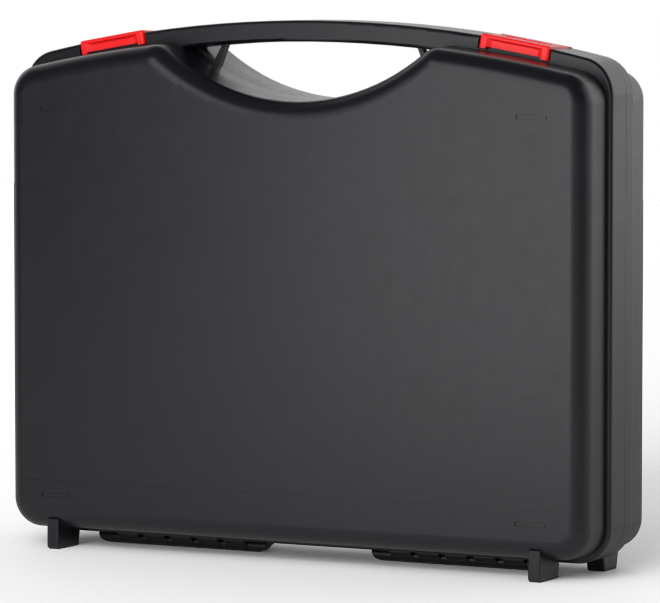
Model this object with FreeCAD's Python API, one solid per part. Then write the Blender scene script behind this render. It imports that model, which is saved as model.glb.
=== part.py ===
import FreeCAD
import Part
import math
import os

from FreeCAD import Vector

# A hard tool case standing on its hinge side, as it is put down by its handle.
# X runs across the case, Z up, and Y through its depth, with the front at -Y.
# The origin is on the floor, below the middle of the rim. The parting plane lies a little behind it.
# All sizes are in millimetres.

# Whole case
case_width = 420.0
case_height = 342.5
case_depth = 93.0
wall = 2.8
parting_gap = 0.3
parting_offset = 4.5
overrun = 4.0

# Rim: the thick band round the parting plane, which becomes the handle on top
rim_depth = 33.0
rim_proud = 3.4
rim_floor_gap = 9.0
rim_top_radius = 870.0
rim_edge_round = 2.2

# Bulge: the body of each half shell, stepped in from the rim
bulge_top_drop = 9.3
bulge_top_radius = 915.0
lower_corner_radius = 20.0
upper_corner_radius = 20.0
bulge_front_round = 12.0
bulge_rear_round = 8.0
bulge_draft = 1.5

# Scoop in the top of the case, under the grip, which leaves room for the hand
scoop_drop = 49.5
scoop_radius = 149.0
shoulder_radius = 15.5

# Handle grip, and the pierced webs that brace its ends
grip_thickness = 13.5
strut_top = 68.6
strut_foot = 74.0
strut_width = 3.0
web_depth = 5.5
web_border = 2.0
grip_rib_pitch = 24.0
grip_rib = 1.8
grip_hollow_half = 62.0

# Panel: the shallow sunk field on each broad face, between two fine grooves, and four moulded marks
field_depth = 0.15
field_line_width = 0.7
field_line_depth = 0.35
field_top_drop = 67.3
field_floor_gap = 44.9
mark_length = 21.5
mark_width = 3.6
mark_depth = 0.6
mark_line = 0.9
mark_side_inset = 36.8
mark_above_field = 10.0
mark_below_field = 9.4

# Tongue of the rear shell, which enters the front shell along the sides and the top
tongue_height = 2.6
tongue_thickness = 1.8
tongue_clearance = 0.3
tongue_floor_gap = 34.0

# Hinges: two rows of knuckles under the rim, each on its own steel pin
hinge_height = 4.7
knuckle_radius = 4.0
pin_radius = 1.5
pin_clearance = 0.05
hinge_end_inset = 59.0
ring_width = 4.0
barrel_length = 15.0
knuckle_gap = 0.4
barrels_per_hinge = 5
inner_cheek_length = 10.0
outer_cheek_length = 12.0
cheek_round = 7.5
knuckle_arm_depth = 8.0
knuckle_arm_height = 1.4
pin_end_wall = 3.5

# Feet: two ribs in front and two behind, set aside so that they pass as the case opens
front_foot_inset = 33.4
front_foot_width = 8.3
front_foot_height = 19.5
foot_edge_round = 1.0
foot_pass_gap = 0.8
rear_foot_width = 12.0
rear_foot_inset = 4.5
foot_rim_gap = 0.5
foot_taper = 3.6
foot_chamfer = 1.6

# Latches: a red cap over the full depth of the rim, turning on a pin at its rear end
latch_inset = 65.6
latch_width = 48.0
latch_side_gap = 1.2
latch_proud = 1.4
latch_rear_proud = 0.4
latch_front_proud = 1.2
latch_plate = 3.0
latch_leg = 3.2
latch_leg_height = 9.2
latch_end_wall = 2.0
latch_end_wall_lift = 1.0
latch_floor_gap = 0.4
latch_edge_round = 1.8
latch_pin_radius = 1.5
latch_pin_clearance = 0.05
latch_pin_hold = 4.0
latch_knuckle_radius = 4.2
latch_knuckle_rear = 0.9
latch_knuckle_crest = 0.3
finger_recess_width = 38.5
finger_recess_drop = 2.2
finger_recess_depth = 1.8
finger_side_slope = 3.2
finger_top_slope = 1.5
finger_slot_height = 1.3
top_recess_width = 33.0
top_recess_depth_y = 12.0
top_recess_sink = 0.7
top_recess_round = 3.0

# Strike: the rib on the front shell that the leg of a closed latch hooks over
strike_width = 38.0
strike_thickness = 3.0
strike_gap = 0.3
strike_head_gap = 1.2

# Foam lining: a pad and a tool tray in the rear shell, a pyramid foam in the front shell
foam_gap = 0.3
pad_thickness = 5.0
tray_face_gap = 5.0
tray_corner_radius = 14.0
tool_recess_width = 270.0
tool_recess_height = 130.0
tool_recess_floor_gap = 128.0
small_recess_width = 126.0
small_recess_height = 64.0
small_recess_floor_gap = 44.0
lid_foam_face_gap = 21.5
pyramid_height = 12.0
pyramid_pitch = 30.0
pyramid_share = 0.86

# Worked out from the sizes above
rim_half = rim_depth / 2
front_edge = parting_offset - parting_gap / 2
rear_edge = parting_offset + parting_gap / 2
half_depth = case_depth / 2
bulge_half = case_width / 2 - rim_proud
bulge_bottom = rim_floor_gap + rim_proud
rim_arc_z = case_height - rim_top_radius
bulge_arc_z = case_height - bulge_top_drop - bulge_top_radius
scoop_arc_z = case_height - scoop_drop + scoop_radius
field_top = case_height - field_top_drop
latch_offset = case_width / 2 - latch_inset
latch_tilt = math.asin(latch_offset / rim_top_radius)
latch_top_z = rim_arc_z + math.sqrt(rim_top_radius ** 2 - latch_offset ** 2)
latch_pin_y = rim_half + latch_knuckle_rear - latch_knuckle_radius
latch_pin_z = latch_rear_proud - latch_knuckle_radius
latch_bottom = latch_proud - latch_leg_height
latch_floor = latch_pin_z - latch_knuckle_radius - latch_floor_gap
ring_pitch = barrel_length + ring_width + 2 * knuckle_gap
hinge_outer = case_width / 2 - hinge_end_inset
hinge_inner = hinge_outer - ring_width - barrels_per_hinge * ring_pitch
front_foot_outer = case_width / 2 - front_foot_inset


def point(flat, y=0.0):
    """A point of an outline, given as (x, z), at depth y."""
    return Vector(flat[0], y, flat[1])


def toward(start, end, distance):
    """The point at a distance from start on the way to end."""
    span = math.hypot(end[0] - start[0], end[1] - start[1])
    share = distance / span
    return (start[0] + (end[0] - start[0]) * share, start[1] + (end[1] - start[1]) * share)


def arc(centre, start, end):
    """The shorter arc about a centre from start to end."""
    radius = math.hypot(start[0] - centre[0], start[1] - centre[1])
    middle = ((start[0] + end[0]) / 2, (start[1] + end[1]) / 2)
    return Part.Arc(point(start), point(toward(centre, middle, radius)), point(end)).toShape()


def line(start, end):
    return Part.LineSegment(point(start), point(end)).toShape()


def on_arc(centre_z, radius, x, above):
    """The point at x on a circle centred on the middle line, on its upper or lower side."""
    rise = math.sqrt(radius ** 2 - x ** 2)
    return (x, centre_z + rise if above else centre_z - rise)


def meeting(lower_z, lower_reach, upper_z, upper_reach):
    """The point that lies at given distances from two centres on the middle line."""
    lift = lower_reach ** 2 - upper_reach ** 2 + upper_z ** 2 - lower_z ** 2
    z = lift / (2 * (upper_z - lower_z))
    return (math.sqrt(lower_reach ** 2 - (z - lower_z) ** 2), z)


def mirrored(flat):
    return (-flat[0], flat[1])


def slab(edges, y_from, y_to):
    """The solid between two depths whose section is the outline that the edges close."""
    face = Part.Face(Part.Wire(Part.__sortEdges__(edges)))
    solid = face.extrude(Vector(0, y_to - y_from, 0))
    solid.translate(Vector(0, y_from, 0))
    return solid


def box(x_from, x_to, y_from, y_to, z_from, z_to):
    size = (x_to - x_from, y_to - y_from, z_to - z_from)
    return Part.makeBox(size[0], size[1], size[2], Vector(x_from, y_from, z_from))


def cylinder_x(radius, x_from, x_to, y, z):
    return Part.makeCylinder(radius, x_to - x_from, Vector(x_from, y, z), Vector(1, 0, 0))


def prism_x(flats, x_from, x_to):
    """The solid between two places across the case whose section is a list of (y, z) points."""
    corners = [Vector(x_from, y, z) for y, z in flats]
    face = Part.Face(Part.makePolygon(corners + corners[:1]))
    return face.extrude(Vector(x_to - x_from, 0, 0))


def is_along(edge, axis):
    """Whether a straight edge runs along an axis."""
    if edge.Curve.TypeId != "Part::GeomLine":
        return False
    return abs(edge.tangentAt(edge.FirstParameter).dot(axis)) > math.cos(math.radians(1))


def edges_at_depth(shape, y):
    """The edges that lie wholly in the plane at depth y."""
    slack = parting_gap / 10
    return [e for e in shape.Edges if max(abs(e.BoundBox.YMin - y), abs(e.BoundBox.YMax - y)) < slack]


def side_outline(half, low, lower_radius, upper_radius, top_arc_z, top_radius):
    """Edges of the bottom, both sides and all four corners, and where the upper corners end."""
    edges = []
    corner_x = half - upper_radius
    corner_z = top_arc_z + math.sqrt((top_radius - upper_radius) ** 2 - corner_x ** 2)
    upper_centre = (corner_x, corner_z)
    upper_end = toward((0, top_arc_z), upper_centre, top_radius)
    lower_centre = (half - lower_radius, low + lower_radius)
    floor_end = (lower_centre[0], low)
    for turn in (lambda flat: flat, mirrored):
        edges.append(arc(turn(lower_centre), turn(floor_end), turn((half, lower_centre[1]))))
        edges.append(line(turn((half, lower_centre[1])), turn((half, corner_z))))
        edges.append(arc(turn(upper_centre), turn((half, corner_z)), turn(upper_end)))
    edges.append(line(mirrored(floor_end), floor_end))
    return edges, upper_end


def bulge_outline(inset):
    """The outline of a bulge, drawn in evenly by an inset."""
    top_radius = bulge_top_radius - inset
    scoop = scoop_radius + inset
    shoulder = shoulder_radius - inset
    edges, corner_end = side_outline(
        bulge_half - inset, bulge_bottom + inset, lower_corner_radius - inset,
        upper_corner_radius - inset, bulge_arc_z, top_radius)
    centre = meeting(bulge_arc_z, top_radius - shoulder, scoop_arc_z, scoop + shoulder)
    shoulder_top = toward((0, bulge_arc_z), centre, top_radius)
    shoulder_foot = toward((0, scoop_arc_z), centre, scoop)
    for turn in (lambda flat: flat, mirrored):
        edges.append(arc((0, bulge_arc_z), turn(corner_end), turn(shoulder_top)))
        edges.append(arc(turn(centre), turn(shoulder_top), turn(shoulder_foot)))
    edges.append(arc((0, scoop_arc_z), shoulder_foot, mirrored(shoulder_foot)))
    return edges


def bulge(inset, edge, edge_round):
    """The rounded front body up to depth edge, drawn in evenly by an inset on every side."""
    front = -half_depth + inset
    run = bulge_draft * (-rim_half - front) / (half_depth - rim_half)
    wires = []
    for outline, y in ((bulge_outline(inset), -rim_half), (bulge_outline(inset + run), front)):
        wire = Part.Wire(Part.__sortEdges__(outline))
        wire.translate(Vector(0, y, 0))
        wires.append(wire)
    solid = slab(bulge_outline(inset), edge, -rim_half).fuse(Part.makeLoft(wires, True, True))
    return solid.makeFillet(edge_round - inset, edges_at_depth(solid, front))


def rim_outline():
    edges, corner_end = side_outline(
        case_width / 2, rim_floor_gap, lower_corner_radius + rim_proud,
        upper_corner_radius + rim_proud, rim_arc_z, rim_top_radius)
    edges.append(arc((0, rim_arc_z), mirrored(corner_end), corner_end))
    return edges


def finger_opening(y_from, y_to):
    """The hole under the grip and over the scoop, which meet at a tip on either side."""
    grip_radius = rim_top_radius - grip_thickness
    tip = meeting(rim_arc_z, grip_radius, scoop_arc_z, scoop_radius)
    edges = [arc((0, rim_arc_z), mirrored(tip), tip), arc((0, scoop_arc_z), tip, mirrored(tip))]
    return slab(edges, y_from, y_to)


def opening_tip(top_x, foot_x, lift, y_from, y_to):
    """The right tip of the finger opening, beyond a slanting line and above a lifted scoop."""
    grip_radius = rim_top_radius - grip_thickness
    scoop = scoop_radius - lift
    top = on_arc(rim_arc_z, grip_radius, top_x, True)
    foot = on_arc(scoop_arc_z, scoop, foot_x, False)
    tip = meeting(rim_arc_z, grip_radius, scoop_arc_z, scoop)
    edges = [arc((0, rim_arc_z), top, tip), arc((0, scoop_arc_z), tip, foot), line(foot, top)]
    return slab(edges, y_from, y_to)


def grip_web():
    """The web of the front shell in the right tip: a strut and a low border round a hole."""
    front = front_edge - web_depth
    plate = opening_tip(strut_top, strut_foot, 0, front_edge, front)
    hole = opening_tip(strut_top + strut_width, strut_foot + strut_width, web_border,
                       front_edge + overrun, front - overrun)
    return plate.cut(hole)


def mirror_x(shape):
    return shape.mirror(Vector(0, 0, 0), Vector(1, 0, 0))


def mirror_y(shape):
    return shape.mirror(Vector(0, 0, 0), Vector(0, 1, 0))


def rim(edge):
    """The front part of the rim up to depth edge, with its grip and finger opening."""
    band = slab(rim_outline(), edge, -rim_half)
    band = band.makeFillet(rim_edge_round, edges_at_depth(band, -rim_half))
    band = band.cut(finger_opening(edge + overrun, -rim_half - overrun))
    underside = case_height - grip_thickness
    lip = [e for e in edges_at_depth(band, -rim_half)
           if abs(e.BoundBox.ZMax - underside) < rim_edge_round / 10]
    return band.makeFillet(rim_edge_round, lip)


def grip_hollow(edge):
    """The channel inside the grip, open at depth edge and crossed by ribs."""
    outer = rim_top_radius - wall
    inner = rim_top_radius - grip_thickness + wall
    high = on_arc(rim_arc_z, outer, grip_hollow_half, True)
    low = on_arc(rim_arc_z, inner, grip_hollow_half, True)
    edges = [
        arc((0, rim_arc_z), mirrored(high), high),
        line(high, low),
        arc((0, rim_arc_z), low, mirrored(low)),
        line(mirrored(low), mirrored(high)),
    ]
    channel = slab(edges, edge + overrun, -rim_half + wall)
    ribs = []
    count = int(grip_hollow_half / grip_rib_pitch)
    for place in range(-count, count + 1):
        middle = place * grip_rib_pitch
        ribs.append(box(middle - grip_rib / 2, middle + grip_rib / 2, -rim_half, edge + overrun,
                        case_height - scoop_drop, case_height))
    return channel.cut(ribs)


def on_rim(shape, side):
    """Put a shape, made about the middle of a latch, in its place on the rim."""
    placed = shape.copy()
    placed.rotate(Vector(0, 0, 0), Vector(0, 1, 0), math.degrees(latch_tilt) * side)
    placed.translate(Vector(side * latch_offset, 0, latch_top_z))
    return placed


def latch_pocket(y_from, y_to):
    """The notch in the rim that a latch lies in."""
    half = latch_width / 2 + latch_side_gap
    return box(-half, half, y_from, y_to, latch_floor, overrun)


def stadium(length, width, y_from, y_to):
    """A slot with round ends, centred on the middle line of its own frame."""
    reach = length / 2 - width / 2
    bar = box(-reach, reach, y_from, y_to, -width / 2, width / 2)
    ends = []
    for x in (-reach, reach):
        ends.append(Part.makeCylinder(width / 2, y_to - y_from, Vector(x, y_from, 0), Vector(0, 1, 0)))
    return bar.fuse(ends)


def panel_cuts():
    """The sunk field of the broad face, its two grooves and the outlines of the four marks round it."""
    front = -half_depth
    cuts = [box(-bulge_half, bulge_half, front - overrun, front + field_depth,
                field_floor_gap, field_top)]
    for z in (field_floor_gap, field_top):
        cuts.append(box(-bulge_half, bulge_half, front - overrun, front + field_line_depth,
                        z - field_line_width / 2, z + field_line_width / 2))
    ring = stadium(mark_length, mark_width, front - overrun, front + mark_depth)
    inner_length = mark_length - 2 * mark_line
    inner_width = mark_width - 2 * mark_line
    ring = ring.cut(stadium(inner_length, inner_width, front - overrun, front + mark_depth))
    for x in (-bulge_half + mark_side_inset, bulge_half - mark_side_inset):
        for z in (field_floor_gap - mark_below_field, field_top + mark_above_field):
            mark = ring.copy()
            mark.translate(Vector(x, 0, z))
            cuts.append(mark)
    return cuts


def tongue_ring(clearance):
    """The band that the tongue fills along the sides and the top, grown by a clearance."""
    end = parting_offset - tongue_height - clearance
    outer = slab(bulge_outline(wall - tongue_thickness - clearance), rear_edge, end)
    inner = slab(bulge_outline(wall), rear_edge, end)
    low = box(-case_width, case_width, -case_depth, case_depth, 0, tongue_floor_gap - clearance)
    return outer.cut([inner, low])


def knuckle(x_from, x_to, behind):
    """A hinge knuckle with its arm, up to the front part of the rim or to the part behind."""
    barrel = cylinder_x(knuckle_radius, x_from, x_to, 0, hinge_height)
    low = rim_floor_gap - knuckle_arm_height
    if behind:
        crest = hinge_height + knuckle_radius
        end = rear_edge + knuckle_arm_depth
        flats = [(0, hinge_height), (0, crest), (rear_edge, crest), (rear_edge, bulge_bottom),
                 (end, bulge_bottom), (end, low), (knuckle_radius, hinge_height)]
    else:
        end = -knuckle_arm_depth
        flats = [(0, hinge_height), (0, bulge_bottom), (end, bulge_bottom), (end, low),
                 (-knuckle_radius, hinge_height)]
    return barrel.fuse(prism_x(flats, x_from, x_to))


def front_knuckles():
    """The long barrels of the front shell, right side."""
    barrels = []
    for place in range(barrels_per_hinge):
        start = hinge_inner + ring_width + knuckle_gap + place * ring_pitch
        barrels.append(knuckle(start, start + barrel_length, False))
    return barrels


def cheek(x_tip, x_inside):
    """An end piece of the hinge, whose lower corner is rounded off at its tip."""
    out = 1 if x_tip > x_inside else -1
    piece = knuckle(min(x_tip, x_inside), max(x_tip, x_inside), True)
    low = hinge_height - knuckle_radius
    centre = x_tip - out * cheek_round
    beyond = x_tip + out * overrun
    corner = box(min(centre, beyond), max(centre, beyond), -case_depth, case_depth,
                 low - overrun, low + cheek_round)
    keep = Part.makeCylinder(cheek_round, 2 * case_depth, Vector(centre, -case_depth, low + cheek_round),
                             Vector(0, 1, 0))
    return piece.cut(corner.cut(keep))


def rear_knuckles():
    """The short rings of the rear shell and the cheeks at both ends, right side."""
    rings = []
    for place in range(barrels_per_hinge + 1):
        start = hinge_inner + place * ring_pitch
        rings.append(knuckle(start, start + ring_width, True))
    rings.append(cheek(hinge_inner - inner_cheek_length, hinge_inner))
    rings.append(cheek(hinge_outer + outer_cheek_length, hinge_outer))
    return rings


def hinge_bore(radius):
    """The hole for a hinge pin, open at the outer cheek."""
    start = hinge_inner - inner_cheek_length + pin_end_wall
    return cylinder_x(radius, start, hinge_outer + outer_cheek_length + overrun, 0, hinge_height)


def softened(foot):
    """A foot with its upright and lower edges rounded."""
    middle = foot.BoundBox.ZMax / 2
    return foot.makeFillet(foot_edge_round, [e for e in foot.Edges if e.BoundBox.ZMin < middle])


def front_foot():
    """The right front foot, whose face is flush with the panel."""
    front = -half_depth
    rear = -rim_half - foot_rim_gap
    flats = [
        (front, front_foot_height),
        (front, foot_chamfer),
        (front + foot_chamfer, 0),
        (rear - foot_taper, 0),
        (rear, front_foot_height),
    ]
    return softened(prism_x(flats, front_foot_outer - front_foot_width, front_foot_outer))


def rear_foot(x_from):
    """A rear foot, set in from the broad face and tapered on both sides."""
    top = bulge_bottom + wall
    near = rim_half + foot_rim_gap
    far = half_depth - rear_foot_inset
    flats = [(near, top), (near + foot_taper, 0), (far - foot_taper, 0), (far, top)]
    return softened(prism_x(flats, x_from, x_from + rear_foot_width))


def half_shell(edge, edge_round):
    """What both shells share, as the front one, whose parting face lies at depth edge."""
    shell = rim(edge).fuse(bulge(0.0, edge, edge_round))
    mouth = slab(bulge_outline(wall), edge + overrun, edge - overrun)
    cuts = [bulge(wall, edge, edge_round), grip_hollow(edge), mouth]
    for side in (-1, 1):
        cuts.append(on_rim(latch_pocket(-rim_half - overrun, edge + overrun), side))
    return shell.cut(cuts + panel_cuts())


def strike():
    """The rib that a closed latch hooks over, in the frame of the latch."""
    front = -rim_half - latch_front_proud + latch_leg + strike_gap
    top = latch_proud - latch_plate - strike_head_gap
    return box(-strike_width / 2, strike_width / 2, front, front + strike_thickness,
               latch_floor - wall / 2, top)


def front_shell():
    """The lid: half shell with webs, strikes, front feet, long barrels and the rebate for the tongue."""
    right = front_knuckles() + [front_foot(), grip_web()]
    shell = half_shell(front_edge, bulge_front_round).fuse(right + [mirror_x(piece) for piece in right])
    shell = shell.fuse([on_rim(strike(), side) for side in (-1, 1)])
    bore = hinge_bore(pin_radius + pin_clearance)
    cavity = bulge(wall, front_edge, bulge_front_round)
    return shell.cut([tongue_ring(tongue_clearance), bore, mirror_x(bore), cavity])


def rear_shell():
    """The base: half shell with tongue, rear feet, rings, cheeks and the latch pin holes."""
    right = rear_knuckles()
    feet = [rear_foot(front_foot_outer + foot_pass_gap),
            rear_foot(front_foot_width - front_foot_outer + foot_pass_gap)]
    shell = mirror_y(half_shell(-rear_edge, bulge_rear_round))
    shell = shell.fuse(right + [mirror_x(piece) for piece in right] + feet)
    shell = shell.fuse(tongue_ring(0.0))
    bore = hinge_bore(pin_radius)
    cuts = [bore, mirror_x(bore), mirror_y(bulge(wall, -rear_edge, bulge_rear_round))]
    reach = latch_width / 2 + latch_side_gap + latch_pin_hold
    hole = cylinder_x(latch_pin_radius, -reach, reach, latch_pin_y, latch_pin_z)
    cuts.extend(on_rim(hole, side) for side in (-1, 1))
    return shell.cut(cuts)


def latch_top(y):
    """The height of the latch's top, which falls from its front to just below its knuckle's crest."""
    face = -rim_half - latch_front_proud
    fall = latch_proud - latch_rear_proud + latch_knuckle_crest
    return latch_proud - fall * (y - face) / (latch_pin_y - face)


def latch():
    """A latch in its own frame: cap plate, front leg, end walls and rear knuckle."""
    half = latch_width / 2
    face = -rim_half - latch_front_proud
    rear_top = latch_top(latch_pin_y)
    skin = [(face, latch_proud), (latch_pin_y, rear_top)]
    under = [(latch_pin_y, rear_top - latch_plate), (face, latch_proud - latch_plate)]
    low = latch_bottom + latch_end_wall_lift
    leg = box(-half, half, face, face + latch_leg, latch_bottom, latch_top(face + latch_leg))
    body = prism_x(skin + under, -half, half).fuse(leg)
    for x in (-half, half - latch_end_wall):
        body = body.fuse(prism_x(skin + [(latch_pin_y, low), (face, low)], x, x + latch_end_wall))
    body = body.removeSplitter()
    body = body.makeFillet(latch_edge_round, [e for e in body.Edges if on_latch_skin(e, half, face)])
    body = body.fuse(cylinder_x(latch_knuckle_radius, -half, half, latch_pin_y, latch_pin_z))
    bore = cylinder_x(latch_pin_radius + latch_pin_clearance, -half - overrun, half + overrun,
                      latch_pin_y, latch_pin_z)
    return body.cut([bore, finger_recess(face), top_recess()]).removeSplitter()


def on_latch_skin(edge, half, face):
    """Whether an edge lies where two of the latch's top, front and sides meet."""
    slack = latch_edge_round / 10
    span = edge.BoundBox
    on_top = all(abs(corner.Point.z - latch_top(corner.Point.y)) < slack for corner in edge.Vertexes)
    on_front = abs(span.YMax - face) < slack
    on_side = abs(span.XMax - span.XMin) < slack and abs(abs(span.XMax) - half) < slack
    return on_top + on_front + on_side == 2


def finger_recess(face):
    """The hollow in the latch's face, with sloping sides, and the slot through its lower edge."""
    half = finger_recess_width / 2
    top = latch_proud - finger_recess_drop
    floor = face + finger_recess_depth
    low = latch_bottom - overrun
    before = face - overrun
    flats = [(before, low), (before, top), (face, top), (floor, top - finger_top_slope), (floor, low)]
    hollow = prism_x(flats, -half, half)
    slope = finger_side_slope * (floor - before) / finger_recess_depth
    wide = half - finger_side_slope + slope
    sides = [(-wide, before), (wide, before), (half - finger_side_slope, floor),
             (finger_side_slope - half, floor)]
    corners = [Vector(x, y, low) for x, y in sides]
    splay = Part.Face(Part.makePolygon(corners + corners[:1])).extrude(Vector(0, 0, top - low))
    slot = box(-half, half, before, face + latch_leg + overrun, low, latch_bottom + finger_slot_height)
    return hollow.common(splay).fuse(slot)


def top_recess():
    """The shallow thumb field, sunk evenly into the latch's sloping top."""
    half = top_recess_width / 2
    reach = top_recess_depth_y / 2
    field = box(-half, half, -reach, reach, -latch_plate, overrun)
    field = field.makeFillet(top_recess_round, [e for e in field.Edges if is_along(e, Vector(0, 0, 1))])
    flats = [(y, latch_top(y) - top_recess_sink) for y in (-reach, reach)]
    flats += [(reach, overrun), (-reach, overrun)]
    return field.common(prism_x(flats, -half, half))


def latch_pin():
    reach = latch_width / 2 + latch_side_gap + latch_pin_hold
    return cylinder_x(latch_pin_radius, -reach, reach, latch_pin_y, latch_pin_z)


def hinge_pin():
    """The right hinge pin, from the blind end of its bore to the outer cheek."""
    start = hinge_inner - inner_cheek_length + pin_end_wall
    end = hinge_outer + outer_cheek_length - pin_end_wall
    return cylinder_x(pin_radius, start, end, 0, hinge_height)


def lining(edge_round):
    """The space in front of the middle, inside a front shell of that round, that foam can fill."""
    return bulge(wall + foam_gap, 0.0, edge_round)


def rounded_recess(width, height, low, y_from, y_to):
    """A recess with rounded corners, centred across the case."""
    block = box(-width / 2, width / 2, y_from, y_to, low, low + height)
    return block.makeFillet(tray_corner_radius, [e for e in block.Edges if is_along(e, Vector(0, 1, 0))])


def base_pad():
    """The thin foam sheet on the floor of the rear shell."""
    floor = half_depth - wall - foam_gap
    keep = box(-case_width, case_width, floor - pad_thickness, case_depth, 0, case_height)
    return mirror_y(lining(bulge_rear_round)).common(keep)


def tool_tray():
    """The foam block of the rear shell, cut out for a tool and for small parts."""
    floor = half_depth - wall - foam_gap - pad_thickness
    face = parting_offset + tray_face_gap
    keep = box(-case_width, case_width, face, floor, 0, case_height)
    block = mirror_y(lining(bulge_rear_round)).common(keep)
    reach = (face - overrun, floor + overrun)
    recesses = [rounded_recess(tool_recess_width, tool_recess_height, tool_recess_floor_gap,
                               reach[0], reach[1])]
    for side in (-1, 1):
        small = rounded_recess(small_recess_width, small_recess_height, small_recess_floor_gap,
                               reach[0], reach[1])
        small.translate(Vector(side * (tool_recess_width - small_recess_width) / 2, 0, 0))
        recesses.append(small)
    return block.cut(recesses)


def groove(length_along_x, middle, face):
    """One V groove between the pyramids, along the case or up it, cut into a foam face."""
    half = pyramid_pitch * pyramid_share / 2
    tall = pyramid_height
    flare = overrun * half / tall
    profile = [(-half - flare, face + overrun), (0, face - tall), (half + flare, face + overrun)]
    if length_along_x:
        corners = [Vector(-case_width, y, middle + s) for s, y in profile]
        sweep = Vector(2 * case_width, 0, 0)
    else:
        corners = [Vector(middle + s, y, -case_height) for s, y in profile]
        sweep = Vector(0, 0, 3 * case_height)
    return Part.Face(Part.makePolygon(corners + corners[:1])).extrude(sweep)


def lid_foam():
    """The foam of the front shell, whose face is a field of low pyramids."""
    face = parting_offset - lid_foam_face_gap
    keep = box(-case_width, case_width, -case_depth, face, 0, case_height)
    block = lining(bulge_front_round).common(keep)
    grooves = []
    columns = int(bulge_half / pyramid_pitch) + 1
    for place in range(-columns, columns):
        grooves.append(groove(False, (place + 1 / 2) * pyramid_pitch, face))
    rows = int(case_height / pyramid_pitch) + 1
    for place in range(rows):
        grooves.append(groove(True, bulge_bottom + wall + place * pyramid_pitch, face))
    return block.cut(grooves)


def write(name, shape):
    """Write one sub-part, as a single solid where it is one."""
    if shape.ShapeType != "Solid" and len(shape.Solids) == 1:
        shape = shape.Solids[0]
    shape.exportStep("parts/" + name + ".step")
    span = shape.BoundBox
    print(name, "solids", len(shape.Solids), "valid", shape.isValid(),
          "volume cm3", round(shape.Volume / 1000, 1),
          "box", [round(v, 1) for v in (span.XMin, span.YMin, span.ZMin, span.XMax, span.YMax, span.ZMax)])


def main():
    os.makedirs("parts", exist_ok=True)
    write("front_shell", front_shell())
    write("rear_shell", rear_shell())
    for name, side in (("left", -1), ("right", 1)):
        write(name + "_latch", on_rim(latch(), side))
        write(name + "_latch_pin", on_rim(latch_pin(), side))
    write("right_hinge_pin", hinge_pin())
    write("left_hinge_pin", mirror_x(hinge_pin()))
    write("base_pad", base_pad())
    write("tool_tray", tool_tray())
    write("lid_foam", lid_foam())


main()
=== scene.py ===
import math

import bmesh
import bpy
import numpy as np
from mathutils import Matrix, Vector

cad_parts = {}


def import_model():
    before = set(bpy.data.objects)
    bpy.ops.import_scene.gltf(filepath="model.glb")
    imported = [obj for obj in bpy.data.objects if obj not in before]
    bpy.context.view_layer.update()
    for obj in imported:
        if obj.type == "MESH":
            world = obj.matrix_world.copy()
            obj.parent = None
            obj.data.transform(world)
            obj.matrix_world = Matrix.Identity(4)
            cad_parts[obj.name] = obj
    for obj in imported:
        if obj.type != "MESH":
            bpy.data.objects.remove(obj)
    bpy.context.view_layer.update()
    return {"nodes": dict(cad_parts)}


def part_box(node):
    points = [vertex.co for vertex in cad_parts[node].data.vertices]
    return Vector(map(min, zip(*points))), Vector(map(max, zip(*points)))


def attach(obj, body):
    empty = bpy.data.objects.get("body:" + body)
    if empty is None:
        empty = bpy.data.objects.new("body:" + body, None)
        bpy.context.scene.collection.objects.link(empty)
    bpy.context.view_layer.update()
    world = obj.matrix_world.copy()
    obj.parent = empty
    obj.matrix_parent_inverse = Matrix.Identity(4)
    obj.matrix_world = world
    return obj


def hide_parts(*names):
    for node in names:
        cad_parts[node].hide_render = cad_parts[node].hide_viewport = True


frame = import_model()

# Camera, found by fitting the case's straight edges in the photograph
IMAGE_WIDTH = 660
CAMERA_AZIMUTH = 28.0
CAMERA_PITCH = 4.29
CAMERA_DISTANCE = 2.992
CAMERA_FOCAL_PIXELS = 4707.0
CAMERA_TARGET = (0.00634, -0.0003, 0.1639)
SENSOR_WIDTH = 36.0

# Where the dim room ends and the backdrop starts, as the Y of a direction, and the ceiling as its Z
ROOM_END = -0.1
BACKDROP_START = 0.3
CEILING_START = 0.55
CEILING_END = 0.85

# Where the light from overhead starts and where it is full, as the Z of a direction
OVERHEAD_START = 0.2
OVERHEAD_FULL = 0.7

# How bright the room in reflections and the overhead light are, where the lamps point, and the floor's reach
ROOM_LIGHT = 0.06
OVERHEAD_LIGHT = 0.35
LAMP_AIM = (0.0, 0.0, 0.2)
FLOOR_REACH = 4.0

# Grain and cells of the finishes, in metres
PLATE_GRAIN = 0.0007
FOAM_CELL = 0.0012

# Outline of a shell's body, in metres: crown, scoop for the hand, shoulders and corners
BODY_HALF = 0.2066
BODY_BOTTOM = 0.0124
CROWN_TOP = 0.3332
CROWN_RADIUS = 0.915
CORNER_RADIUS = 0.020
SCOOP_BOTTOM = 0.293
SCOOP_RADIUS = 0.149
SHOULDER_RADIUS = 0.0155

# How the foam follows the shell: the gap to the outline, the draft, and the round at the broad face
FOAM_INSET = 0.0031
DRAFT_START = 0.0165
DRAFT_SLOPE = 0.05
LID_FOAM_ROUND = 0.0089
BASE_FOAM_ROUND = 0.0049
FOAM_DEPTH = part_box("base_pad")[1][1]

# Pyramids of the lid foam, and the recesses of the tool tray as (middle x, low z, width, height)
PYRAMID_PITCH = 0.030
PYRAMID_HEIGHT = 0.012
RIDGE_BLEND = 0.16
RECESSES = ((0.0, 0.128, 0.270, 0.130), (-0.072, 0.044, 0.126, 0.064), (0.072, 0.044, 0.126, 0.064))
RECESS_CORNER = 0.014
CUT_EDGE = 0.0012
FLAT_RING = 0.0015

# Columns and rows of the foam's meshes
LID_GRID = (236, 180)
BASE_COLUMNS = 140


def socket(node, name, value):
    """Set one socket of a node to a fixed value."""
    node.inputs[name].default_value = value


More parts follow.
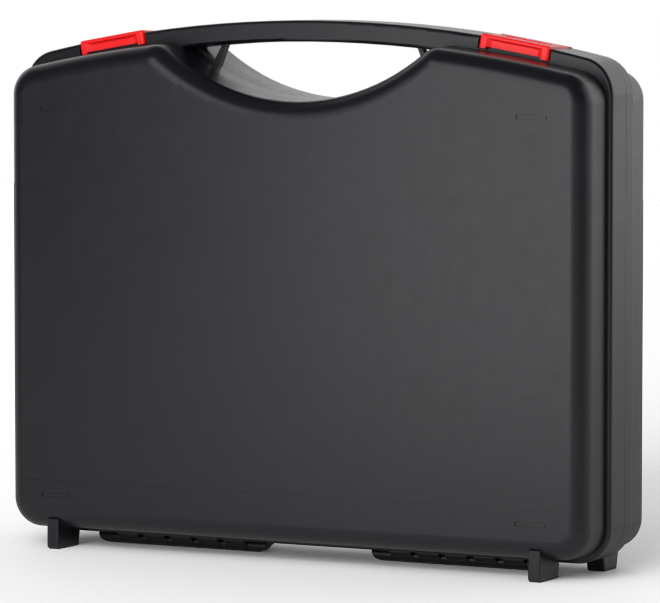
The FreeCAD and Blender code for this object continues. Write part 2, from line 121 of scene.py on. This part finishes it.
def new_material(name):
    """A material with an empty tree but for its output and one Principled shader."""
    material = bpy.data.materials.new(name)
    material.use_nodes = True
    tree = material.node_tree
    tree.nodes.clear()
    output = tree.nodes.new("ShaderNodeOutputMaterial")
    shader = tree.nodes.new("ShaderNodeBsdfPrincipled")
    tree.links.new(shader.outputs["BSDF"], output.inputs["Surface"])
    return material, tree, shader


def object_noise(tree, size, detail):
    """Noise on Object coordinates, whose features are about size metres across."""
    place = tree.nodes.new("ShaderNodeTexCoord")
    noise = tree.nodes.new("ShaderNodeTexNoise")
    socket(noise, "Scale", 1.0 / size)
    socket(noise, "Detail", detail)
    tree.links.new(place.outputs["Object"], noise.inputs["Vector"])
    return noise.outputs["Fac"]


def ramp(tree, fac, low, high, start=0.3, end=0.7):
    """Map a factor to a colour or grey between low and high."""
    node = tree.nodes.new("ShaderNodeValToRGB")
    node.color_ramp.elements[0].position = start
    node.color_ramp.elements[1].position = end
    node.color_ramp.elements[0].color = low
    node.color_ramp.elements[1].color = high
    tree.links.new(fac, node.inputs["Fac"])
    return node.outputs["Color"]


def grey(value):
    return (value, value, value, 1.0)


def bump(tree, shader, height, strength, distance, under=None):
    """Add a bump to a shader, over another bump if one is given."""
    node = tree.nodes.new("ShaderNodeBump")
    socket(node, "Strength", strength)
    socket(node, "Distance", distance)
    tree.links.new(height, node.inputs["Height"])
    if under is not None:
        tree.links.new(under, node.inputs["Normal"])
    tree.links.new(node.outputs["Normal"], shader.inputs["Normal"])
    return node.outputs["Normal"]


def case_plastic():
    """Near-black moulded plastic with a fine spark-eroded grain and faint flow marks."""
    material, tree, shader = new_material("case_plastic")
    mottle = object_noise(tree, 0.045, 3.0)
    colour = ramp(tree, mottle, (0.0042, 0.0042, 0.0072, 1), (0.0056, 0.0056, 0.0092, 1))
    tree.links.new(colour, shader.inputs["Base Color"])
    gloss = ramp(tree, object_noise(tree, 0.012, 4.0), grey(0.30), grey(0.35))
    tree.links.new(gloss, shader.inputs["Roughness"])
    socket(shader, "Specular IOR Level", 0.6)
    grain = object_noise(tree, PLATE_GRAIN, 1.0)
    fine = bump(tree, shader, grain, 0.35, 0.00012)
    bump(tree, shader, object_noise(tree, 0.004, 1.0), 0.08, 0.0004, fine)
    return material


def latch_plastic():
    """Glossy red moulded plastic."""
    material, tree, shader = new_material("latch_plastic")
    colour = ramp(tree, object_noise(tree, 0.01, 2.0), (0.92, 0.012, 0.014, 1), (0.96, 0.016, 0.019, 1))
    tree.links.new(colour, shader.inputs["Base Color"])
    gloss = ramp(tree, object_noise(tree, 0.006, 3.0), grey(0.30), grey(0.38))
    tree.links.new(gloss, shader.inputs["Roughness"])
    socket(shader, "Specular IOR Level", 0.5)
    bump(tree, shader, object_noise(tree, 0.0012, 1.0), 0.06, 0.0001)
    return material


def pin_steel():
    """Drawn steel wire, with lines along the pin."""
    material, tree, shader = new_material("pin_steel")
    place = tree.nodes.new("ShaderNodeTexCoord")
    stretch = tree.nodes.new("ShaderNodeMapping")
    socket(stretch, "Scale", (20.0, 4000.0, 4000.0))
    noise = tree.nodes.new("ShaderNodeTexNoise")
    socket(noise, "Scale", 1.0)
    tree.links.new(place.outputs["Object"], stretch.inputs["Vector"])
    tree.links.new(stretch.outputs["Vector"], noise.inputs["Vector"])
    colour = ramp(tree, noise.outputs["Fac"], (0.42, 0.42, 0.43, 1), (0.6, 0.6, 0.61, 1))
    tree.links.new(colour, shader.inputs["Base Color"])
    gloss = ramp(tree, noise.outputs["Fac"], grey(0.25), grey(0.42))
    tree.links.new(gloss, shader.inputs["Roughness"])
    socket(shader, "Metallic", 1.0)
    return material


def foam(name, pit_shade, light):
    """Open-celled foam: a fine pitted surface that takes no gloss, its colour darker in the pits as painted
    shade.
    """
    material, tree, shader = new_material(name)
    cells = tree.nodes.new("ShaderNodeTexVoronoi")
    place = tree.nodes.new("ShaderNodeTexCoord")
    socket(cells, "Scale", 1.0 / FOAM_CELL)
    tree.links.new(place.outputs["Object"], cells.inputs["Vector"])
    # Painted shade: the colour goes from dark in the cells' pits to light on their walls, following the same
    # cells as the bump
    colour = ramp(tree, cells.outputs["Distance"], pit_shade, light, 0.1, 0.8)
    tree.links.new(colour, shader.inputs["Base Color"])
    patches = ramp(tree, object_noise(tree, 0.02, 3.0), grey(0.86), grey(0.96))
    tree.links.new(patches, shader.inputs["Roughness"])
    socket(shader, "Specular IOR Level", 0.2)
    socket(shader, "Sheen Weight", 0.15)
    bump(tree, shader, cells.outputs["Distance"], 0.6, 0.0006)
    return material


def rise(radius, across):
    """How far a circle stands above its centre at a distance across from it."""
    return np.sqrt(np.maximum(radius ** 2 - across ** 2, 0.0))


def shoulder_centre(crown_z, scoop_z):
    """The point as far from the crown's and the scoop's centres as the shoulder's round needs."""
    below = CROWN_RADIUS - SHOULDER_RADIUS
    above = SCOOP_RADIUS + SHOULDER_RADIUS
    z = (below ** 2 - above ** 2 + scoop_z ** 2 - crown_z ** 2) / (2 * (scoop_z - crown_z))
    return rise(below, z - crown_z), z


def body_outline(x, inset):
    """Lowest and highest z of the body at x: arcs about fixed centres, whose radii take up the inset."""
    reach = np.abs(x)
    crown_z = CROWN_TOP - CROWN_RADIUS
    scoop_z = SCOOP_BOTTOM + SCOOP_RADIUS
    side_x = BODY_HALF - CORNER_RADIUS
    side_z = crown_z + rise(CROWN_RADIUS - CORNER_RADIUS, side_x)
    shoulder_x, shoulder_z = shoulder_centre(crown_z, scoop_z)
    crown, corner = CROWN_RADIUS - inset, CORNER_RADIUS - inset
    scoop, shoulder = SCOOP_RADIUS + inset, SHOULDER_RADIUS - inset
    high = np.select(
        [reach < shoulder_x * scoop / (scoop + shoulder), reach < shoulder_x * crown / (crown - shoulder),
         reach < side_x * crown / (crown - corner)],
        [scoop_z - rise(scoop, reach), shoulder_z + rise(shoulder, reach - shoulder_x),
         crown_z + rise(crown, reach)],
        side_z + rise(corner, reach - side_x))
    low = BODY_BOTTOM + CORNER_RADIUS - rise(corner, np.maximum(reach - side_x, 0.0))
    return low, high


def body_grid(inset, across, up, turn=8):
    """(x, z) over the outline: columns run across, closer in the corners, and rows from low to high."""
    bend = np.sin(np.linspace(0.0, math.pi / 2, turn + 1)[1:])
    middle = BODY_HALF - CORNER_RADIUS
    right = middle + (CORNER_RADIUS - inset) * bend
    x = np.concatenate([-right[::-1], np.linspace(-middle, middle, across), right])
    low, high = body_outline(x, inset)
    share = np.linspace(0.0, 1.0, up)[:, None]
    z = low + share * (high - low)
    return np.stack([np.broadcast_to(x, z.shape), z], axis=-1)


def rim_of(grid):
    """The grid's border as one closed ring: along the bottom, up, back along the top and down."""
    return np.concatenate([grid[0, :-1], grid[:-1, -1], grid[-1, :0:-1], grid[:0:-1, 0]])


def foam_inset(depth, edge_round):
    """Inset of the foam at a depth: a gap, a draft and, near the broad face, a quarter round."""
    into_round = np.clip((depth - FOAM_DEPTH + edge_round) / edge_round, 0.0, 1.0)
    return (FOAM_INSET + DRAFT_SLOPE * np.maximum(depth - DRAFT_START, 0.0)
            + edge_round * (1.0 - np.sqrt(1.0 - into_round ** 2)))


def wall_profile(start, end, steps=14):
    """(inset, depth) down a block's side, with a flat ring and a small round at each end's edge."""
    turn = np.linspace(0.0, math.pi / 2, 4)
    near = start + CUT_EDGE * (1 - np.sin(turn))
    far = end - CUT_EDGE * (1 - np.sin(turn))
    run = np.linspace(near[0], far[0], steps)[1:-1]
    depth = np.concatenate([[start], near[::-1], run, far, [end]])
    extra = np.concatenate([[CUT_EDGE + FLAT_RING], CUT_EDGE * (1 - np.cos(turn[::-1])), 0 * run,
                            CUT_EDGE * (1 - np.cos(turn)), [CUT_EDGE + FLAT_RING]])
    return extra, depth


def recess_ring(recess, grow):
    """A rounded rectangle, grown on every side: four corner arcs joined by straight sides."""
    middle, low, width, height = recess
    turn = np.linspace(0.0, math.pi / 2, 10)
    centre = np.array([middle, low + height / 2])
    half = np.array([width / 2, height / 2]) - RECESS_CORNER
    corners = []
    for number, signs in enumerate(((1, 1), (-1, 1), (-1, -1), (1, -1))):
        angle = turn + number * math.pi / 2
        arc = np.stack([np.cos(angle), np.sin(angle)], axis=-1) * (RECESS_CORNER + grow)
        corners.append(centre + half * signs + arc)
    return np.concatenate(corners)


def band(rings, depths):
    """A closed band: flat rings of (x, z) set one behind another at their depths along Y."""
    points = [np.insert(ring, 1, depth, axis=1) for ring, depth in zip(rings, depths)]
    count = len(rings[0])
    here = np.arange(count)
    after = (here + 1) % count
    faces = [np.stack([here, after, after + count, here + count], axis=-1) + row * count
             for row in range(len(rings) - 1)]
    return np.concatenate(points), np.concatenate(faces)


def sheet(points):
    """A grid of points in rows and columns, joined into quads."""
    rows, columns = points.shape[:2]
    first = (np.arange(rows - 1)[:, None] * columns + np.arange(columns - 1)).ravel()
    faces = np.stack([first, first + 1, first + columns + 1, first + columns], axis=-1)
    return points.reshape(-1, 3), faces


def foam_mesh(name, blocks):
    """Join blocks of points and quads, close each flat end, and turn every face outwards."""
    points, faces, start = [], [], 0
    for block_points, block_faces in blocks:
        points.append(block_points)
        faces.append(block_faces + start)
        start += len(block_points)
    mesh = bpy.data.meshes.new(name)
    mesh.from_pydata(np.concatenate(points).tolist(), [], np.concatenate(faces).tolist())
    work = bmesh.new()
    work.from_mesh(mesh)
    bmesh.ops.remove_doubles(work, verts=work.verts, dist=1e-6)
    ends = {}
    for edge in work.edges:
        if edge.is_boundary:
            ends.setdefault(round(edge.verts[0].co.y, 5), []).append(edge)
    for edges in ends.values():
        bmesh.ops.triangle_fill(work, use_beauty=True, edges=edges)
    bmesh.ops.recalc_face_normals(work, faces=work.faces)
    for face in work.faces:
        face.smooth = True
    work.to_mesh(mesh)
    work.free()
    mesh.set_sharp_from_angle(angle=math.radians(50))
    return mesh


def foam_piece(name, node, body, blocks, material):
    """A piece of foam that stands for the plain CAD solid of a node."""
    mesh = foam_mesh(name, blocks)
    mesh.materials.append(material)
    piece = bpy.data.objects.new(name, mesh)
    bpy.context.collection.objects.link(piece)
    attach(piece, body)
    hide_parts(node)


def side_wall(start, end):
    """The side of a foam block of the base from one depth to another."""
    extra, depth = wall_profile(start, end)
    insets = foam_inset(depth, BASE_FOAM_ROUND) + extra
    return band([rim_of(body_grid(inset, BASE_COLUMNS, 2)) for inset in insets], depth)


def pyramid_foam():
    """Lid foam: pyramids on a square pitch, lower where either axis is near a valley."""
    low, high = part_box("lid_foam")
    near, far = -high[1], -low[1]
    grid = body_grid(foam_inset(near, LID_FOAM_ROUND), *LID_GRID)
    valley = np.array([PYRAMID_PITCH / 2, low[2]])
    place = np.abs((grid - valley) / PYRAMID_PITCH - np.round((grid - valley) / PYRAMID_PITCH)) * 2
    slope = 0.6 * place + 0.4 * (0.5 - 0.5 * np.cos(math.pi * place))
    soft = np.maximum(RIDGE_BLEND - np.abs(slope[..., 0] - slope[..., 1]), 0.0)
    height = np.minimum(slope[..., 0], slope[..., 1]) - soft ** 2 / (4 * RIDGE_BLEND)
    depth = near + PYRAMID_HEIGHT * (1.0 - np.clip(height, 0.0, 1.0))
    face = np.stack([grid[..., 0], -depth, grid[..., 1]], axis=-1)
    floor = near + PYRAMID_HEIGHT
    turn = np.linspace(0.2, math.pi / 2, 8)
    levels = np.concatenate([np.linspace(floor + CUT_EDGE, far - LID_FOAM_ROUND, 4),
                             far - LID_FOAM_ROUND * (1 - np.sin(turn))])
    insets = foam_inset(np.append(levels, far), LID_FOAM_ROUND)
    insets[-1] += FLAT_RING
    rings = [rim_of(body_grid(inset, *LID_GRID)) for inset in insets]
    wall_points, wall_faces = band(rings, -np.append(levels, far))
    count = len(rings[0])
    cut = np.concatenate([rim_of(face), wall_points[:count]])
    here = np.arange(count)
    after = (here + 1) % count
    cut_faces = np.stack([here, after, after + count, here + count], axis=-1)
    return [sheet(face), (cut, cut_faces), (wall_points, wall_faces)]


def tray_foam():
    """Tool tray: a block with three recesses cut right through it, all edges a little soft."""
    low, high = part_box("tool_tray")
    blocks = [side_wall(low[1], high[1])]
    extra, depth = wall_profile(low[1], high[1], 6)
    for recess in RECESSES:
        blocks.append(band([recess_ring(recess, grow) for grow in extra], depth))
    return blocks


def pad_foam():
    """Base pad: a thin sheet that follows the rounded edge of the shell's floor."""
    low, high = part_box("base_pad")
    return [side_wall(low[1], high[1])]


def camera():
    """The camera of the photograph: its height, angle and long lens."""
    turn = math.radians(CAMERA_AZIMUTH)
    pitch = math.radians(CAMERA_PITCH)
    back = Vector((math.sin(turn) * math.cos(pitch), -math.cos(turn) * math.cos(pitch), math.sin(pitch)))
    data = bpy.data.cameras.new("camera")
    data.sensor_width = SENSOR_WIDTH
    data.lens = CAMERA_FOCAL_PIXELS / IMAGE_WIDTH * SENSOR_WIDTH
    data.clip_end = 50.0
    eye = bpy.data.objects.new("camera", data)
    eye.location = Vector(CAMERA_TARGET) + back * CAMERA_DISTANCE
    eye.rotation_mode = "QUATERNION"
    eye.rotation_quaternion = (-back).to_track_quat("-Z", "Y")
    bpy.context.collection.objects.link(eye)
    bpy.context.scene.camera = eye


def softbox(name, place, size, radiance, mirrored=True):
    """A rectangular lamp of even radiance, turned towards the case, and seen in glossy surfaces or not."""
    data = bpy.data.lights.new(name, "AREA")
    data.shape = "RECTANGLE"
    data.size, data.size_y = size
    data.energy = radiance * math.pi * size[0] * size[1]
    lamp = bpy.data.objects.new(name, data)
    lamp.location = place
    lamp.rotation_mode = "QUATERNION"
    lamp.rotation_quaternion = (Vector(LAMP_AIM) - Vector(place)).to_track_quat("-Z", "Y")
    lamp.visible_glossy = mirrored
    bpy.context.collection.objects.link(lamp)


def background(tree):
    """A white background node, at full strength unless a link sets it."""
    node = tree.nodes.new("ShaderNodeBackground")
    socket(node, "Color", grey(1.0))
    socket(node, "Strength", 1.0)
    return node


def either(tree, first, second, operation="MAXIMUM"):
    """Join two factors with one of the Math node's operations."""
    node = tree.nodes.new("ShaderNodeMath")
    node.operation = operation
    tree.links.new(first, node.inputs[0])
    tree.links.new(second, node.inputs[1])
    return node.outputs["Value"]


def blend(tree, fac, low, high):
    """Mix two shaders by a factor."""
    node = tree.nodes.new("ShaderNodeMixShader")
    tree.links.new(fac, node.inputs["Fac"])
    tree.links.new(low, node.inputs[1])
    tree.links.new(high, node.inputs[2])
    return node.outputs["Shader"]


def fade(tree, value, start, end, low, high):
    """Map a value smoothly from one range to another."""
    node = tree.nodes.new("ShaderNodeMapRange")
    node.interpolation_type = "SMOOTHSTEP"
    for name, amount in (("From Min", start), ("From Max", end), ("To Min", low), ("To Max", high)):
        socket(node, name, amount)
    tree.links.new(value, node.inputs["Value"])
    return node.outputs["Result"]


def world():
    """Reflections show a white backdrop and a dim room, and matt surfaces are lit from overhead."""
    sky = bpy.data.worlds.new("studio")
    bpy.context.scene.world = sky
    sky.use_nodes = True
    tree = sky.node_tree
    tree.nodes.clear()
    output = tree.nodes.new("ShaderNodeOutputWorld")
    path = tree.nodes.new("ShaderNodeLightPath")
    place = tree.nodes.new("ShaderNodeTexCoord")
    way = tree.nodes.new("ShaderNodeSeparateXYZ")
    tree.links.new(place.outputs["Object"], way.inputs["Vector"])
    behind = fade(tree, way.outputs["Y"], ROOM_END, BACKDROP_START, ROOM_LIGHT, 1.0)
    below_ceiling = fade(tree, way.outputs["Z"], CEILING_START, CEILING_END, 1.0, ROOM_LIGHT)
    light = background(tree)
    tree.links.new(either(tree, behind, below_ceiling, "MINIMUM"), light.inputs["Strength"])
    above = background(tree)
    tree.links.new(fade(tree, way.outputs["Z"], OVERHEAD_START, OVERHEAD_FULL, 0.0, OVERHEAD_LIGHT),
                   above.inputs["Strength"])
    mirrored = either(tree, path.outputs["Is Glossy Ray"], path.outputs["Is Transmission Ray"])
    around = blend(tree, mirrored, above.outputs[0], light.outputs[0])
    seen = blend(tree, path.outputs["Is Camera Ray"], around, background(tree).outputs[0])
    tree.links.new(seen, output.inputs["Surface"])


def floor():
    """A pale floor that takes the case's shadow."""
    mesh = bpy.data.meshes.new("floor")
    corners = [(x * FLOOR_REACH, y * FLOOR_REACH, 0) for x, y in ((-1, -1), (1, -1), (1, 1), (-1, 1))]
    mesh.from_pydata(corners, [], [(0, 1, 2, 3)])
    ground = bpy.data.objects.new("floor", mesh)
    bpy.context.collection.objects.link(ground)
    material, tree, shader = new_material("floor")
    socket(shader, "Base Color", grey(0.9))
    socket(shader, "Roughness", 0.7)
    mesh.materials.append(material)
    ground.is_shadow_catcher = True


def dress(nodes, material):
    for node in nodes:
        obj = frame["nodes"][node]
        obj.data.materials.clear()
        obj.data.materials.append(material)


dress(["front_shell", "rear_shell"], case_plastic())
dress(["left_latch", "right_latch"], latch_plastic())
dress(["left_latch_pin", "right_latch_pin", "left_hinge_pin", "right_hinge_pin"], pin_steel())

# Foam colours: the darker one is painted shade in the cells' pits, the lighter one is the cell walls
soft_black = foam("foam", (0.012, 0.012, 0.013, 1), (0.04, 0.04, 0.043, 1))
foam_piece("pyramid_foam", "lid_foam", "lid", pyramid_foam(), soft_black)
foam_piece("tray_foam", "tool_tray", "base", tray_foam(), soft_black)
foam_piece("pad_foam", "base_pad", "base", pad_foam(), soft_black)

floor()
camera()
world()
softbox("front_softbox", (-0.12, -0.95, 0.34), (0.7, 1.1), 1.75)
softbox("side_softbox", (1.0, 1.4, 0.5), (1.0, 1.6), 0.4)
softbox("fill_softbox", (0.3, -2.2, 0.9), (1.6, 1.6), 4.2, mirrored=False)
bpy.context.scene.view_settings.view_transform = "Standard"
